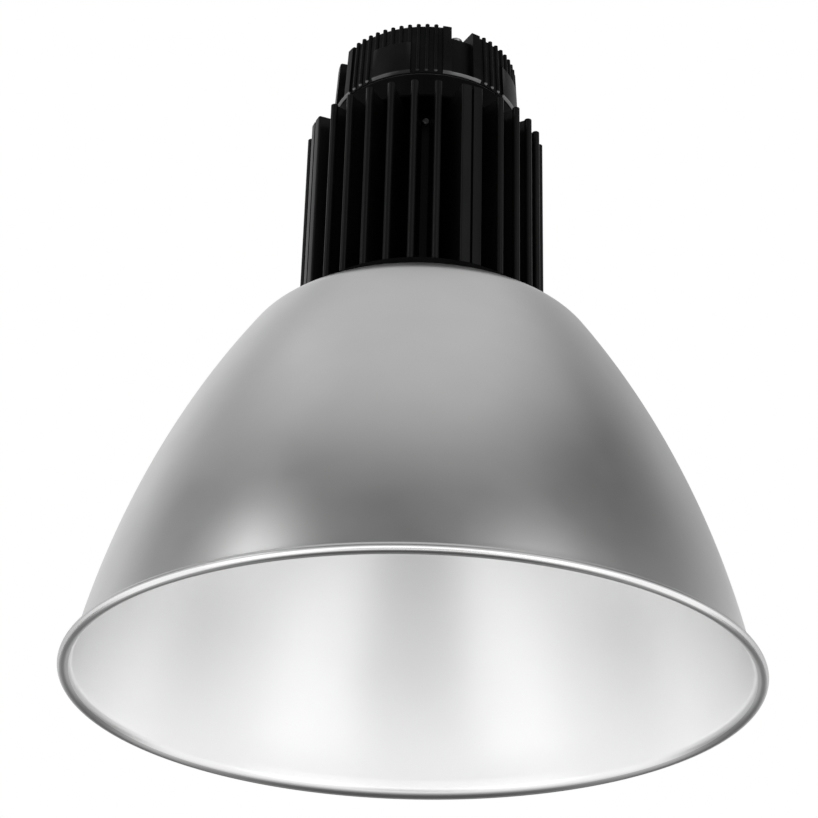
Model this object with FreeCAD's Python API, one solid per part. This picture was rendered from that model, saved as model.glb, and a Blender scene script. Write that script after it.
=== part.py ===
import FreeCAD, Part
import os
from math import asin, atan, atan2, cos, degrees, hypot, pi, radians, sin, sqrt

# High bay light. Millimetres, +Z up. The origin is the centre of the reflector's rim plane.
# Angles round the axis are counted from the front, -Y, towards +X.

# ---- Driving dimensions -------------------------------------------------------------------

# Play between pieces
seat_gap = 0.2            # between a spigot, lens or sleeve and the hole it sits in
thread_play = 0.1         # between a screw's shank and its tapped hole
screw_play = 0.4          # between a screw's shank and its clearance hole
past = 1.0                # how far a cutting shape runs beyond the face that it opens
sunk = 3.0                # how far a rib, panel or ear is let into what it grows from

# Reflector, spun from one sheet
rim_r = 210.0             # outermost radius, over the rolled bead
sheet = 1.5
curl_r = 3.2              # outer radius of the rolled bead
curl_start = 52.0         # slope of the sheet where the bead begins
curl_end = 305.0          # slope where the rolled edge stops, short of the wall
flare_r = 8.0             # radius that turns the wall outward into the bead
wall_bend_r = 598.0       # radius of the bell's long curve
shoulder_r = 34.0         # radius of the tighter bend at the top
flat_margin = 9.0         # how far the flat flange reaches past the base plate's step
flange_z = 243.0          # top of the flat flange
reflector_hole_r = 42.0

# Base plate, between the reflector and the heat sink
plate_margin = 0.2        # how far the plate reaches past the fins
plate_rim_h = 8.0         # thickness of the plate's full-width part
plate_step = 4.0          # how much narrower the plate's lower part is
plate_step_h = 5.5
plate_edge = 0.5          # chamfer on the plate's rim

# Heat sink, one extrusion
sink_length = 135.0
fin_tip_r = 79.8
core_r = 40.0
web_angle = 21.9          # the first of the four wide webs
web_count = 4
web_width = 14.6
web_corner_r = 1.2
groove_width = 1.7
groove_depth = 2.4
fins_per_gap = 6
first_fin_offset = 16.5   # from a web's centre line to the next fin
fin_root_width = 3.0
fin_neck_width = 2.2
bulb_r = 2.4              # rounded fin tip
port_r = 50.0             # circle of the screw ports in the webs
pocket_r = 16.0           # turned pocket in the core's top
pocket_depth = 14.0
wire_bore_r = 4.4
wire_circle_r = 34.0

# Screws: shank radius, head radius, head height
m3 = (1.5, 2.7, 2.0)
m4 = (2.0, 3.6, 2.6)
m5 = (2.5, 4.4, 3.0)
m3_small = (1.5, 2.2, 1.8)
head_edge_share = 0.15    # chamfer on a head, as a share of its height
socket_share = 0.5        # width of a head's hexagon socket, as a share of the head's
socket_depth_share = 0.6
flat_socket_share = 0.7   # the same two, for a countersunk head and its shank
washer_t = 1.0
washer_margin = 0.7       # how far a washer reaches past the head
port_grip = 18.0          # length of screw held in a screw port
tapped_depth = 9.0        # depth of the smaller tapped holes
tip_room = 1.0            # room beyond a screw's end

# Light engine
pad_side = 40.0
pad_t = 0.5
emitter_side = 38.0
emitter_t = 1.5
phosphor_r = 15.0
phosphor_t = 0.8
holder_r = 29.5
holder_h = 7.0
holder_bore_r = 17.0
holder_mouth_r = 22.0
holder_screw_r = 24.4
holder_edge = 0.8
ear_width = 10.0
ear_t = 2.5
ear_reach = 5.0           # how far the holder's ear runs past the lead

# Lens frame
frame_inset = 13.0        # from the base plate's step to the frame
frame_wall = 11.0         # from the frame's outside to the lens
frame_h = 18.0
frame_lip_t = 3.0
frame_lip = 4.0           # how far the lip reaches under the lens
frame_edge_r = 1.6
frame_lip_edge = 1.0
lens_t = 4.0
lens_edge = 0.6
gasket_t = 1.0
gasket_width = 3.0
frame_screw_inset = 5.0   # from the frame's outside
frame_screw_count = 8
frame_counterbore = 4.0
reflector_screw_inset = 6.0   # from the base plate's step
reflector_screw_count = 4

# Lead through the heat sink
lead_r = 2.4
sleeve_wall = 1.0
sleeve_foot_reach = 0.5   # past the plate
sleeve_top_reach = 1.5    # past the neck ring's floor

# Neck ring
neck_margin = 0.5         # how far the ring stands out past the housing's wall
neck_h = 17.7
neck_bore_inset = 5.5     # from the screw ports' circle to the ring's bore
neck_floor = 4.0
neck_edge = 0.8
spigot_length = 12.0
neck_screw_inset = 10.0   # from the driver's standoffs to the ring's own screws
core_screw_drop = 5.5     # below the heat sink's top
core_screw_bite = 3.0

# Driver housing, one casting
housing_h = 40.6
housing_foot_r = 62.0     # at the bottom, between the ribs
housing_taper = 2.0       # how much narrower the wall is at the top
housing_wall = 4.5
housing_roof = 4.0
housing_edge_r = 1.5
rib_count = 64
rib_r = 1.45
rib_foot_rise = 0.9       # from the housing's foot to the rounded end of a rib
panel_count = 8
panel_half_angle = 12.5
panel_proud = 1.5
panel_chamfer = 1.3       # on a panel's foot
panel_edge = 1.0          # on its top
low_panel_h = 26.4        # the plain panels stop short of the top
recess_half_angle = 7.2
recess_depth = 5.6
recess_sill = 2.6
recess_reach = 5.0        # how far the recess is cut past the panel's face
sill_fall = 1.5           # over that way out
pocket_margin = 1.0       # inside the washer
screw_pocket_drop = 6.3   # pocket floor below the housing's top
boss_half_angle = 10.5

# Gasket between the neck ring and the housing
neck_gasket_outset = 0.8  # set back from the housing's wall
neck_gasket_inset = 0.5   # set back from the ring's bore

# Driver
board_gap = 1.5           # round the board, inside the neck ring
board_t = 1.6
standoff_r = 3.0
standoff_h = 8.0
standoff_inset = 6.0      # from the board's edge
standoff_stub = 3.0
standoff_bore_depth = 6.5
board_screw_bite = 5.0
transformer_size = (26.0, 24.0, 20.0)
transformer_core_share = 0.75         # of its height
transformer_winding_share = 0.55      # of its height
transformer_foot = (28.0, 18.0)
transformer_winding = (18.0, 27.0)
transformer_cap = (22.0, 20.0)
transformer_place = (-0.21, 0.23)     # as shares of the board's radius, like the next three
choke_r = 10.0
choke_hole_r = 4.5
choke_h = 9.0
choke_place = (0.47, 0.42)
capacitor_r = 7.5
capacitor_h = 25.0
capacitor_edge = 1.0
capacitor_groove_z = 3.0
capacitor_groove = 0.6
capacitor_groove_half = 0.8
capacitor_places = [(0.28, -0.33), (0.63, -0.07)]
terminal_size = (22.0, 10.0, 11.0)
terminal_inset = 10.0     # from the board's edge
terminal_across = -4.0
terminal_ways = 3
terminal_screw_r = 2.0
terminal_screw_depth = 3.0
terminal_mouth = (4.0, 4.0, 4.0)
terminal_mouth_rise = 2.0
spreader_size = (2.5, 26.0, 18.0)
spreader_inset = 7.0      # from the board's edge
spreader_across = -4.0
spreader_foot = 7.0

# Hanger boss on the roof
hanger_flange_share = 1 / 3   # the boss's flange, as a share of the roof's radius
hanger_flange_h = 4.0
hanger_r = 13.0
hanger_h = 16.0
hanger_stub_r = 10.0
hanger_stub_length = 11.0
hanger_thread_r = 4.25    # tapped M10
hanger_thread_depth = 18.0
hanger_nut_flats = 30.0
hanger_nut_h = 5.0
hanger_edge = 1.5
hanger_flange_edge = 1.0
hanger_gasket_inset = 1.0     # set back from the flange's rim
set_screw_drop = 7.0
set_screw_r = 2.5
set_screw_tip_gap = 0.4   # short of the thread
set_screw_sunk = 0.5      # below the boss's side
set_screw_socket = 2.5    # depth of its hexagon socket

# Cable gland on the roof
gland_share = 0.6         # the gland's circle, as a share of the roof's radius
gland_thread_r = 8.0
gland_thread_spare = 2.0  # length of thread beyond the lock nut
gland_flats = 20.0
gland_hex_h = 5.0
gland_nut_h = 4.0
gland_neck_h = 7.0
gland_neck_step = 0.3     # how much narrower the neck is than the thread
gland_bore_play = 0.3     # how much wider the bore is than the seal's
gland_cap_r = 10.0
gland_cap_h = 13.0
gland_cap_top = 2.5       # thickness of the cap's end
gland_cap_chamfer = (3.0, 4.0)    # across and along the axis
gland_cap_clear = 0.5     # over the neck's end
gland_grip_count = 12
gland_grip_r = 1.0
gland_grip_out = 0.4      # a grip's centre, outside the cap's side
gland_grip_stop = 4.5     # below the cap's top
seal_r = 5.6
seal_bore_r = 4.0
seal_length = 11.0
seal_drop = 2.0           # below the top of the hexagon
seal_play = 0.1
gland_flat_gap = 0.4      # between the cap and the hexagon

# ---- Sizes and heights that follow ---------------------------------------------------------

plate_r = fin_tip_r + plate_margin
plate_step_r = plate_r - plate_step
flat_r = plate_step_r + flat_margin
reflector_screw_r = plate_step_r - reflector_screw_inset
frame_r = plate_step_r - frame_inset
frame_screw_r = frame_r - frame_screw_inset
lens_r = frame_r - frame_wall
frame_lip_r = lens_r - frame_lip
neck_r = housing_foot_r + neck_margin
housing_top_r = housing_foot_r - housing_taper
neck_bore_r = port_r - neck_bore_inset
board_r = neck_bore_r - board_gap
standoff_circle_r = board_r - standoff_inset
neck_screw_r = standoff_circle_r - neck_screw_inset
gland_circle_r = housing_top_r * gland_share
hanger_flange_r = housing_top_r * hanger_flange_share

flange_under_z = flange_z - sheet
plate_top_z = flange_z + plate_step_h + plate_rim_h
sink_top_z = plate_top_z + sink_length
neck_top_z = sink_top_z + neck_h
housing_foot_z = neck_top_z + gasket_t
housing_top_z = housing_foot_z + housing_h
roof_under_z = housing_top_z - housing_roof
neck_floor_z = sink_top_z + neck_floor
board_z = neck_floor_z + standoff_h
board_top_z = board_z + board_t
frame_foot_z = flange_under_z - frame_h
lens_z = frame_foot_z + frame_lip_t + gasket_t
pocket_floor_z = housing_top_z - screw_pocket_drop
roof_seat_z = housing_top_z + gasket_t
core_screw_z = sink_top_z - core_screw_drop

fin_pitch = (360.0 / web_count - 2 * first_fin_offset) / (fins_per_gap - 1)
core_screw_angle = web_angle - first_fin_offset - fin_pitch / 2
lead_angle = web_angle + 180.0
between_webs = web_angle + 180.0 / web_count
gland_angle = between_webs + 90.0

UP = FreeCAD.Vector(0, 0, 1)
CENTRE = FreeCAD.Vector(0, 0, 0)


# ---- Helpers -------------------------------------------------------------------------------

def at(r, angle, z=0.0):
    """A point at radius r, at an angle from the front, at height z."""
    return FreeCAD.Vector(r * sin(radians(angle)), -r * cos(radians(angle)), z)


def rod(r, z0, z1, place=CENTRE):
    return Part.makeCylinder(r, z1 - z0, place + FreeCAD.Vector(0, 0, z0))


def tube(r_out, r_in, z0, z1, place=CENTRE):
    return rod(r_out, z0, z1, place).cut(rod(r_in, z0 - past, z1 + past, place))


def hexagon(flats, z0, z1, place=CENTRE):
    corner_r = flats / sqrt(3.0)
    points = [place + at(corner_r, 60.0 * k, z0) for k in range(7)]
    return Part.Face(Part.makePolygon(points)).extrude(UP * (z1 - z0))


def turned(points):
    """A solid of revolution about Z from (radius, height) points."""
    corners = [FreeCAD.Vector(r, 0, z) for r, z in points]
    return Part.Face(Part.makePolygon(corners + corners[:1])).revolve(CENTRE, UP, 360)


def turned_at(points, place):
    solid = turned(points)
    solid.translate(place)
    return solid


def sector(points, angle, half_angle):
    """(radius, height) points swept about Z through half_angle each side of angle."""
    corners = [at(r, angle - half_angle, z) for r, z in points]
    return Part.Face(Part.makePolygon(corners + corners[:1])).revolve(CENTRE, UP, 2 * half_angle)


def block(size, centre, z0):
    """A box of size (x, y, z) centred over a point, with its foot at z0."""
    corner = FreeCAD.Vector(centre.x - size[0] / 2, centre.y - size[1] / 2, z0)
    return Part.makeBox(size[0], size[1], size[2], corner)


def turn(shape, angle):
    shape.rotate(CENTRE, UP, angle)
    return shape


def ring_angles(count, first):
    return [first + 360.0 * k / count for k in range(count)]


def drilled(body, r, circle_r, angles, z0, z1):
    """The body with round upright holes on a circle."""
    holes = [rod(r, z0, z1, at(circle_r, angle)) for angle in angles]
    return body.cut(Part.makeCompound(holes))


def screw(size, length):
    """A cap screw along -Z, with the underside of its head at the origin."""
    shank_r, head_r, head_h = size
    edge = head_edge_share * head_h
    head = turned([(0, 0), (head_r, 0), (head_r, head_h - edge), (head_r - edge, head_h), (0, head_h)])
    socket = hexagon(2 * head_r * socket_share, head_h * (1 - socket_depth_share), head_h + past)
    return head.cut(socket).fuse(rod(shank_r, -length, 0)).removeSplitter()


def countersunk_screw(size, length):
    """A flat-headed screw along -Z, with its head's flat top at the origin."""
    shank_r, head_r, head_h = size
    head = turned([(0, -head_h), (shank_r, -head_h), (head_r, 0), (0, 0)])
    socket = hexagon(2 * shank_r * flat_socket_share, -head_h * flat_socket_share, past)
    return head.cut(socket).fuse(rod(shank_r, -length, -head_h)).removeSplitter()


def facing_down(shape):
    shape.rotate(CENTRE, FreeCAD.Vector(1, 0, 0), 180)
    return shape


def on_circle(shape, circle_r, angles, z):
    """Separate copies of a shape at a height on a circle."""
    copies = []
    for angle in angles:
        copy = turn(shape.copy(), angle)
        copy.translate(at(circle_r, angle, z))
        copies.append(copy)
    return Part.makeCompound(copies)


def export(node, shape):
    if not shape.isValid():
        raise ValueError(node + " is not a valid shape")
    shape.exportStep("parts/" + node + ".step")


# ---- Reflector -----------------------------------------------------------------------------

def sheet_point(centre, radius, lean):
    return FreeCAD.Vector(centre[0] + radius * cos(radians(lean)), 0,
                          centre[1] + radius * sin(radians(lean)))


def sheet_arc(centre, radius, lean_a, lean_b):
    middle = sheet_point(centre, radius, (lean_a + lean_b) / 2)
    return Part.Arc(sheet_point(centre, radius, lean_a), middle,
                    sheet_point(centre, radius, lean_b)).toShape()


def meeting_point(a, r_a, b, r_b):
    """The point at distance r_a from a and r_b from b that lies to the left of the way from b to a."""
    across, up = a[0] - b[0], a[1] - b[1]
    gap = hypot(across, up)
    along = (gap ** 2 + r_b ** 2 - r_a ** 2) / (2 * gap)
    aside = sqrt(r_b ** 2 - along ** 2)
    return (b[0] + (along * across - aside * up) / gap, b[1] + (along * up + aside * across) / gap)


def lean_between(a, b):
    return degrees(atan2(b[1] - a[1], b[0] - a[0]))


def reflector_curves():
    """Centre, outer-face radius, first lean and last lean of the sheet's four arcs, bead first.

    Each arc runs smoothly into the next. A negative radius means that the arc's centre lies
    outside the bell.
    """
    curl_centre = (rim_r - curl_r, curl_r)
    curl_face = curl_r - sheet
    offset = flare_r - curl_face
    flare_centre = (curl_centre[0] + offset * cos(radians(curl_start)),
                    curl_centre[1] + offset * sin(radians(curl_start)))
    shoulder_centre = (flat_r, flange_z - shoulder_r)
    wall_centre = meeting_point(shoulder_centre, wall_bend_r - shoulder_r,
                                flare_centre, wall_bend_r + flare_r)
    foot_lean = lean_between(wall_centre, flare_centre)
    top_lean = lean_between(wall_centre, shoulder_centre)
    return [(curl_centre, -curl_face, curl_end, curl_start),
            (flare_centre, -flare_r, curl_start, foot_lean),
            (wall_centre, wall_bend_r, foot_lean, top_lean),
            (shoulder_centre, shoulder_r, top_lean, 90.0)]


def make_reflector():
    curves = reflector_curves()
    outer = [sheet_arc(centre, radius, a, b) for centre, radius, a, b in curves]
    inner = [sheet_arc(centre, radius - sheet, a, b) for centre, radius, a, b in curves]
    outer_end = sheet_point(curves[-1][0], curves[-1][1], 90.0)
    inner_end = sheet_point(curves[-1][0], curves[-1][1] - sheet, 90.0)
    outer_tip = sheet_point(curves[0][0], curves[0][1], curl_end)
    inner_tip = sheet_point(curves[0][0], curves[0][1] - sheet, curl_end)
    hole_top = FreeCAD.Vector(reflector_hole_r, 0, flange_z)
    hole_foot = FreeCAD.Vector(reflector_hole_r, 0, flange_under_z)
    edges = outer + [Part.makeLine(outer_end, hole_top), Part.makeLine(hole_top, hole_foot),
                     Part.makeLine(hole_foot, inner_end)] + inner
    edges.append(Part.makeLine(inner_tip, outer_tip))
    section = Part.Face(Part.Wire(Part.__sortEdges__(edges)))
    bell = section.revolve(CENTRE, UP, 360)
    bell = drilled(bell, m4[0] + screw_play, reflector_screw_r,
                   ring_angles(reflector_screw_count, web_angle), flange_under_z - past, flange_z + past)
    return drilled(bell, m4[0] + screw_play, frame_screw_r,
                   frame_screw_angles(), flange_under_z - past, flange_z + past)


def frame_screw_angles():
    return ring_angles(frame_screw_count, web_angle + 180.0 / frame_screw_count)


# ---- Heat sink and base plate --------------------------------------------------------------

def placed(point, angle):
    """A spoke's own (along, across) point, turned to its angle round the axis."""
    along, across = point
    angle = radians(angle)
    return FreeCAD.Vector(along * sin(angle) - across * cos(angle),
                          -along * cos(angle) - across * sin(angle), 0)


def fin_outline(angle):
    root = (sqrt(core_r ** 2 - (fin_root_width / 2) ** 2), fin_root_width / 2)
    bulb_centre = fin_tip_r - bulb_r
    neck = (bulb_centre - sqrt(bulb_r ** 2 - (fin_neck_width / 2) ** 2), fin_neck_width / 2)
    points = [placed(p, angle) for p in
              [root, neck, (fin_tip_r, 0), (neck[0], -neck[1]), (root[0], -root[1])]]
    edges = [Part.makeLine(points[0], points[1]),
             Part.Arc(points[1], points[2], points[3]).toShape(),
             Part.makeLine(points[3], points[4])]
    return points[0], edges, points[4]


def web_outline(angle):
    half = web_width / 2
    root = (sqrt(core_r ** 2 - half ** 2), half)
    corner_r = web_corner_r
    centre_across = half - corner_r
    centre_along = sqrt((fin_tip_r - corner_r) ** 2 - centre_across ** 2)
    slope = atan(centre_across / centre_along)
    side = (centre_along, half)
    bend = (centre_along + corner_r * cos(pi / 4 + slope / 2),
            centre_across + corner_r * sin(pi / 4 + slope / 2))
    face = (fin_tip_r * cos(slope), fin_tip_r * sin(slope))
    lip = (sqrt(fin_tip_r ** 2 - (groove_width / 2) ** 2), groove_width / 2)
    lip_slope = asin(groove_width / 2 / fin_tip_r)
    face_middle = (fin_tip_r * cos((slope + lip_slope) / 2), fin_tip_r * sin((slope + lip_slope) / 2))
    floor = (fin_tip_r - groove_depth, groove_width / 2)

    def half_edges(sign):
        root_p, side_p, bend_p, face_p, middle_p, lip_p, floor_p = [
            placed((p[0], sign * p[1]), angle) for p in
            [root, side, bend, face, face_middle, lip, floor]]
        return root_p, floor_p, [Part.makeLine(root_p, side_p),
                                 Part.Arc(side_p, bend_p, face_p).toShape(),
                                 Part.Arc(face_p, middle_p, lip_p).toShape(),
                                 Part.makeLine(lip_p, floor_p)]

    root_a, floor_a, edges_a = half_edges(1)
    root_b, floor_b, edges_b = half_edges(-1)
    return root_a, edges_a + [Part.makeLine(floor_a, floor_b)] + edges_b, root_b


def sink_section():
    spokes = []
    for web in ring_angles(web_count, web_angle):
        spokes.append(web_outline(web))
        for k in range(fins_per_gap):
            spokes.append(fin_outline(web + first_fin_offset + k * fin_pitch))
    edges = []
    for k, (start, outline, end) in enumerate(spokes):
        next_start = spokes[(k + 1) % len(spokes)][0]
        middle = (end + next_start).normalize() * core_r
        edges += outline + [Part.Arc(end, middle, next_start).toShape()]
    return Part.Face(Part.Wire(Part.__sortEdges__(edges)))


def make_heat_sink():
    sink = sink_section().extrude(UP * sink_length)
    sink.translate(UP * plate_top_z)
    sink = drilled(sink, m5[0] + thread_play, port_r, ring_angles(web_count, web_angle),
                   plate_top_z - past, sink_top_z + past)
    sink = drilled(sink, wire_bore_r, wire_circle_r, [lead_angle], plate_top_z - past, sink_top_z + past)
    sink = drilled(sink, m4[0] + thread_play, neck_screw_r, ring_angles(web_count, between_webs),
                   sink_top_z - tapped_depth - tip_room, sink_top_z + past)
    sink = sink.cut(rod(pocket_r, sink_top_z - pocket_depth, sink_top_z + past))
    cross_hole = Part.makeCylinder(m3_small[0] + thread_play, core_r - pocket_r + 2 * past,
                                   at(pocket_r - past, core_screw_angle, core_screw_z),
                                   at(1, core_screw_angle))
    return sink.cut(cross_hole)


def make_core_screw():
    tip_r = pocket_r - seat_gap - core_screw_bite
    body = screw(m3_small, core_r - tip_r)
    body.rotate(CENTRE, FreeCAD.Vector(1, 0, 0), 90)
    body = turn(body, core_screw_angle)
    body.translate(at(core_r, core_screw_angle, core_screw_z))
    return body


def make_base_plate():
    step_z = flange_z + plate_step_h
    edge = plate_edge
    plate = turned([(0, flange_z), (plate_step_r, flange_z), (plate_step_r, step_z),
                    (plate_r - edge, step_z), (plate_r, step_z + edge), (plate_r, plate_top_z - edge),
                    (plate_r - edge, plate_top_z), (0, plate_top_z)])
    shank_r, head_r, head_h = m5
    sink_cone = [(0, flange_z - past), (head_r + screw_play, flange_z - past),
                 (head_r + screw_play, flange_z), (shank_r + screw_play, flange_z + head_h),
                 (shank_r + screw_play, plate_top_z + past), (0, plate_top_z + past)]
    for angle in ring_angles(web_count, web_angle):
        plate = plate.cut(turned_at(sink_cone, at(port_r, angle)))
    blind_top = flange_z + tapped_depth + tip_room
    plate = drilled(plate, m4[0] + thread_play, reflector_screw_r,
                    ring_angles(reflector_screw_count, web_angle), flange_z - past, blind_top)
    plate = drilled(plate, m4[0] + thread_play, frame_screw_r, frame_screw_angles(),
                    flange_z - past, blind_top)
    plate = drilled(plate, m3[0] + thread_play, holder_screw_r, holder_screw_angles(),
                    flange_z - past, blind_top)
    return drilled(plate, wire_bore_r, wire_circle_r, [lead_angle], flange_z - past, plate_top_z + past)


# ---- Light engine --------------------------------------------------------------------------

def holder_screw_angles():
    """The holder's square sits square to the lead, and its screws beside two of its sides."""
    return [lead_angle + 90.0, lead_angle - 90.0]


def make_thermal_pad():
    return turn(block((pad_side, pad_side, pad_t), CENTRE, flange_z - pad_t), lead_angle)


def make_led_emitter():
    foot_z = flange_z - pad_t - emitter_t
    plate = block((emitter_side, emitter_side, emitter_t), CENTRE, foot_z)
    return turn(plate.fuse(rod(phosphor_r, foot_z - phosphor_t, foot_z)), lead_angle)


def make_led_holder():
    foot_z = flange_z - holder_h
    emitter_foot_z = flange_z - pad_t - emitter_t
    edge = holder_edge
    ring = turned([(holder_mouth_r, foot_z), (holder_r - edge, foot_z), (holder_r, foot_z + edge),
                   (holder_r, flange_z), (holder_bore_r, flange_z), (holder_bore_r, emitter_foot_z)])
    side = pad_side + 2 * seat_gap
    ring = ring.cut(block((side, side, pad_t + emitter_t + seat_gap + past), CENTRE,
                          emitter_foot_z - seat_gap))
    ear_start = holder_r - sunk
    ear_length = wire_circle_r + ear_reach - ear_start
    ear = block((ear_width, ear_length, ear_t), FreeCAD.Vector(0, -ear_start - ear_length / 2, 0), foot_z)
    holder = turn(ring.fuse(ear), lead_angle)
    return drilled(holder, m3[0] + screw_play, holder_screw_r, holder_screw_angles(),
                   foot_z - past, flange_z + past)


def make_lens_frame():
    seat_r = lens_r + seat_gap
    lip_top = frame_foot_z + frame_lip_t
    edge = frame_edge_r
    frame = turned([(frame_lip_r + frame_lip_edge, frame_foot_z), (frame_r - edge, frame_foot_z),
                    (frame_r, frame_foot_z + edge), (frame_r, flange_under_z),
                    (seat_r, flange_under_z), (seat_r, lip_top), (frame_lip_r, lip_top),
                    (frame_lip_r, frame_foot_z + frame_lip_edge)])
    frame = drilled(frame, m4[0] + screw_play, frame_screw_r, frame_screw_angles(),
                    frame_foot_z - past, flange_under_z + past)
    return drilled(frame, m4[1] + screw_play, frame_screw_r, frame_screw_angles(),
                   frame_foot_z - past, frame_foot_z + frame_counterbore)


def make_lens():
    edge = lens_edge
    return turned([(0, lens_z), (lens_r - edge, lens_z), (lens_r, lens_z + edge),
                   (lens_r, lens_z + lens_t - edge), (lens_r - edge, lens_z + lens_t),
                   (0, lens_z + lens_t)])


# ---- Neck ring -----------------------------------------------------------------------------

def make_neck_ring():
    edge = neck_edge
    spigot_r = pocket_r - seat_gap
    neck = turned([(0, sink_top_z - spigot_length), (spigot_r, sink_top_z - spigot_length),
                   (spigot_r, sink_top_z), (neck_r - edge, sink_top_z), (neck_r, sink_top_z + edge),
                   (neck_r, neck_top_z - edge), (neck_r - edge, neck_top_z),
                   (neck_bore_r, neck_top_z), (neck_bore_r, neck_floor_z), (0, neck_floor_z)])
    neck = drilled(neck, m5[0] + screw_play, port_r, ring_angles(web_count, web_angle),
                   sink_top_z - past, neck_top_z + past)
    neck = drilled(neck, m4[0] + screw_play, neck_screw_r, ring_angles(web_count, between_webs),
                   sink_top_z - past, neck_floor_z + past)
    neck = drilled(neck, m3[0] + thread_play, standoff_circle_r, ring_angles(web_count, between_webs),
                   neck_floor_z - standoff_stub - seat_gap, neck_floor_z + past)
    neck = drilled(neck, wire_bore_r, wire_circle_r, [lead_angle], sink_top_z - past, neck_floor_z + past)
    dimple = Part.makeCylinder(m3_small[0] + thread_play, core_screw_bite + past,
                               at(spigot_r - core_screw_bite, core_screw_angle, core_screw_z),
                               at(1, core_screw_angle))
    return neck.cut(dimple)


# ---- Driver housing ------------------------------------------------------------------------

def face_r(z):
    """Radius of the housing's drafted wall, between the ribs."""
    share = (z - housing_foot_z) / housing_h
    return housing_foot_r + (housing_top_r - housing_foot_r) * share


def panel_angles():
    return ring_angles(panel_count, web_angle)


def is_recessed(k):
    return k % 2 == 0


def make_panel(angle, top_z):
    chamfer = panel_chamfer
    foot_z = housing_foot_z
    edge = panel_edge
    points = [(face_r(foot_z) - sunk, foot_z), (face_r(foot_z) + panel_proud - chamfer, foot_z),
              (face_r(foot_z + chamfer) + panel_proud, foot_z + chamfer),
              (face_r(top_z - edge) + panel_proud, top_z - edge),
              (face_r(top_z) + panel_proud - edge, top_z), (face_r(top_z) - sunk, top_z)]
    return sector(points, angle, panel_half_angle)


def make_rib(angle, foot_z):
    """A half-round rib that follows the draft, with a round foot."""
    draft = atan((housing_foot_r - housing_top_r) / housing_h)
    length = (housing_top_z - foot_z) / cos(draft) + 2 * past
    rib = rod(rib_r, 0, length).fuse(Part.makeSphere(rib_r))
    rib.rotate(CENTRE, FreeCAD.Vector(1, 0, 0), -degrees(draft))
    rib = turn(rib, angle)
    rib.translate(at(face_r(foot_z), angle, foot_z))
    return rib


def rib_shapes():
    ribs = []
    pitch = 360.0 / rib_count
    for k in range(rib_count):
        angle = web_angle + k * pitch
        step = 360.0 / panel_count
        panel = int(round((angle - web_angle) / step)) % panel_count
        from_panel = abs((angle - web_angle + step / 2) % step - step / 2)
        foot_z = housing_foot_z + rib_foot_rise + rib_r
        if from_panel < panel_half_angle:
            if is_recessed(panel):
                continue
            foot_z = housing_foot_z + low_panel_h - rib_r
        ribs.append(make_rib(angle, foot_z))
    return ribs


def make_driver_housing():
    edge = housing_edge_r
    inner_foot = housing_foot_r - housing_wall
    inner_top = housing_top_r - housing_wall
    shell = turned([(inner_foot, housing_foot_z), (housing_foot_r, housing_foot_z),
                    (face_r(housing_top_z - edge), housing_top_z - edge),
                    (housing_top_r - edge, housing_top_z), (0, housing_top_z),
                    (0, roof_under_z), (inner_top, roof_under_z)])
    additions = rib_shapes()
    cuts = []
    for k, angle in enumerate(panel_angles()):
        if not is_recessed(k):
            additions.append(make_panel(angle, housing_foot_z + low_panel_h))
            continue
        additions.append(make_panel(angle, housing_top_z))
        boss = [(neck_bore_r, housing_foot_z), (inner_top + sunk, housing_foot_z),
                (inner_top + sunk, roof_under_z + sunk), (neck_bore_r, roof_under_z + sunk)]
        additions.append(sector(boss, angle, boss_half_angle))
        sill_z = housing_foot_z + recess_sill
        out = housing_foot_r + panel_proud + recess_reach
        recess = [(face_r(sill_z) + panel_proud - recess_depth, sill_z), (out, sill_z - sill_fall),
                  (out, housing_top_z + past), (face_r(housing_top_z) + panel_proud - recess_depth,
                                                housing_top_z + past)]
        cuts.append(sector(recess, angle, recess_half_angle))
        pocket_in = port_r - m5[1] - washer_margin - pocket_margin
        pocket = [(pocket_in, pocket_floor_z), (out, pocket_floor_z), (out, housing_top_z + past),
                  (pocket_in, housing_top_z + past)]
        cuts.append(sector(pocket, angle, recess_half_angle))
        cuts.append(rod(m5[0] + screw_play, housing_foot_z - past, housing_top_z, at(port_r, angle)))
    housing = shell.fuse(additions)
    cuts.append(rod(2 * housing_foot_r, housing_top_z, housing_top_z + housing_h))
    cuts.append(rod(hanger_stub_r + seat_gap, roof_under_z - past, housing_top_z + past))
    cuts.append(rod(gland_thread_r + seat_gap, roof_under_z - past, housing_top_z + past,
                    at(gland_circle_r, gland_angle)))
    return housing.cut(Part.makeCompound(cuts)).removeSplitter()


def make_neck_gasket():
    gasket = tube(housing_foot_r - neck_gasket_outset, neck_bore_r + neck_gasket_inset,
                  neck_top_z, housing_foot_z)
    return drilled(gasket, m5[0] + screw_play, port_r, ring_angles(web_count, web_angle),
                   neck_top_z - past, housing_foot_z + past)


# ---- Driver --------------------------------------------------------------------------------

def make_driver_board():
    board = rod(board_r, board_z, board_top_z)
    return drilled(board, m3[0] + screw_play, standoff_circle_r, ring_angles(web_count, between_webs),
                   board_z - past, board_top_z + past)


def on_board(place):
    return FreeCAD.Vector(place[0] * board_r, place[1] * board_r, 0)


def make_transformer():
    height = transformer_size[2]
    core_h = height * transformer_core_share
    end_h = (height - core_h) / 2
    winding_h = height * transformer_winding_share
    place = on_board(transformer_place)
    core = block((*transformer_size[:2], core_h), place, board_top_z + end_h)
    foot = block((*transformer_foot, end_h), place, board_top_z)
    winding = block((*transformer_winding, winding_h), place, board_top_z + (height - winding_h) / 2)
    cap = block((*transformer_cap, end_h), place, board_top_z + end_h + core_h)
    return core.fuse([foot, winding, cap]).removeSplitter()


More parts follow.
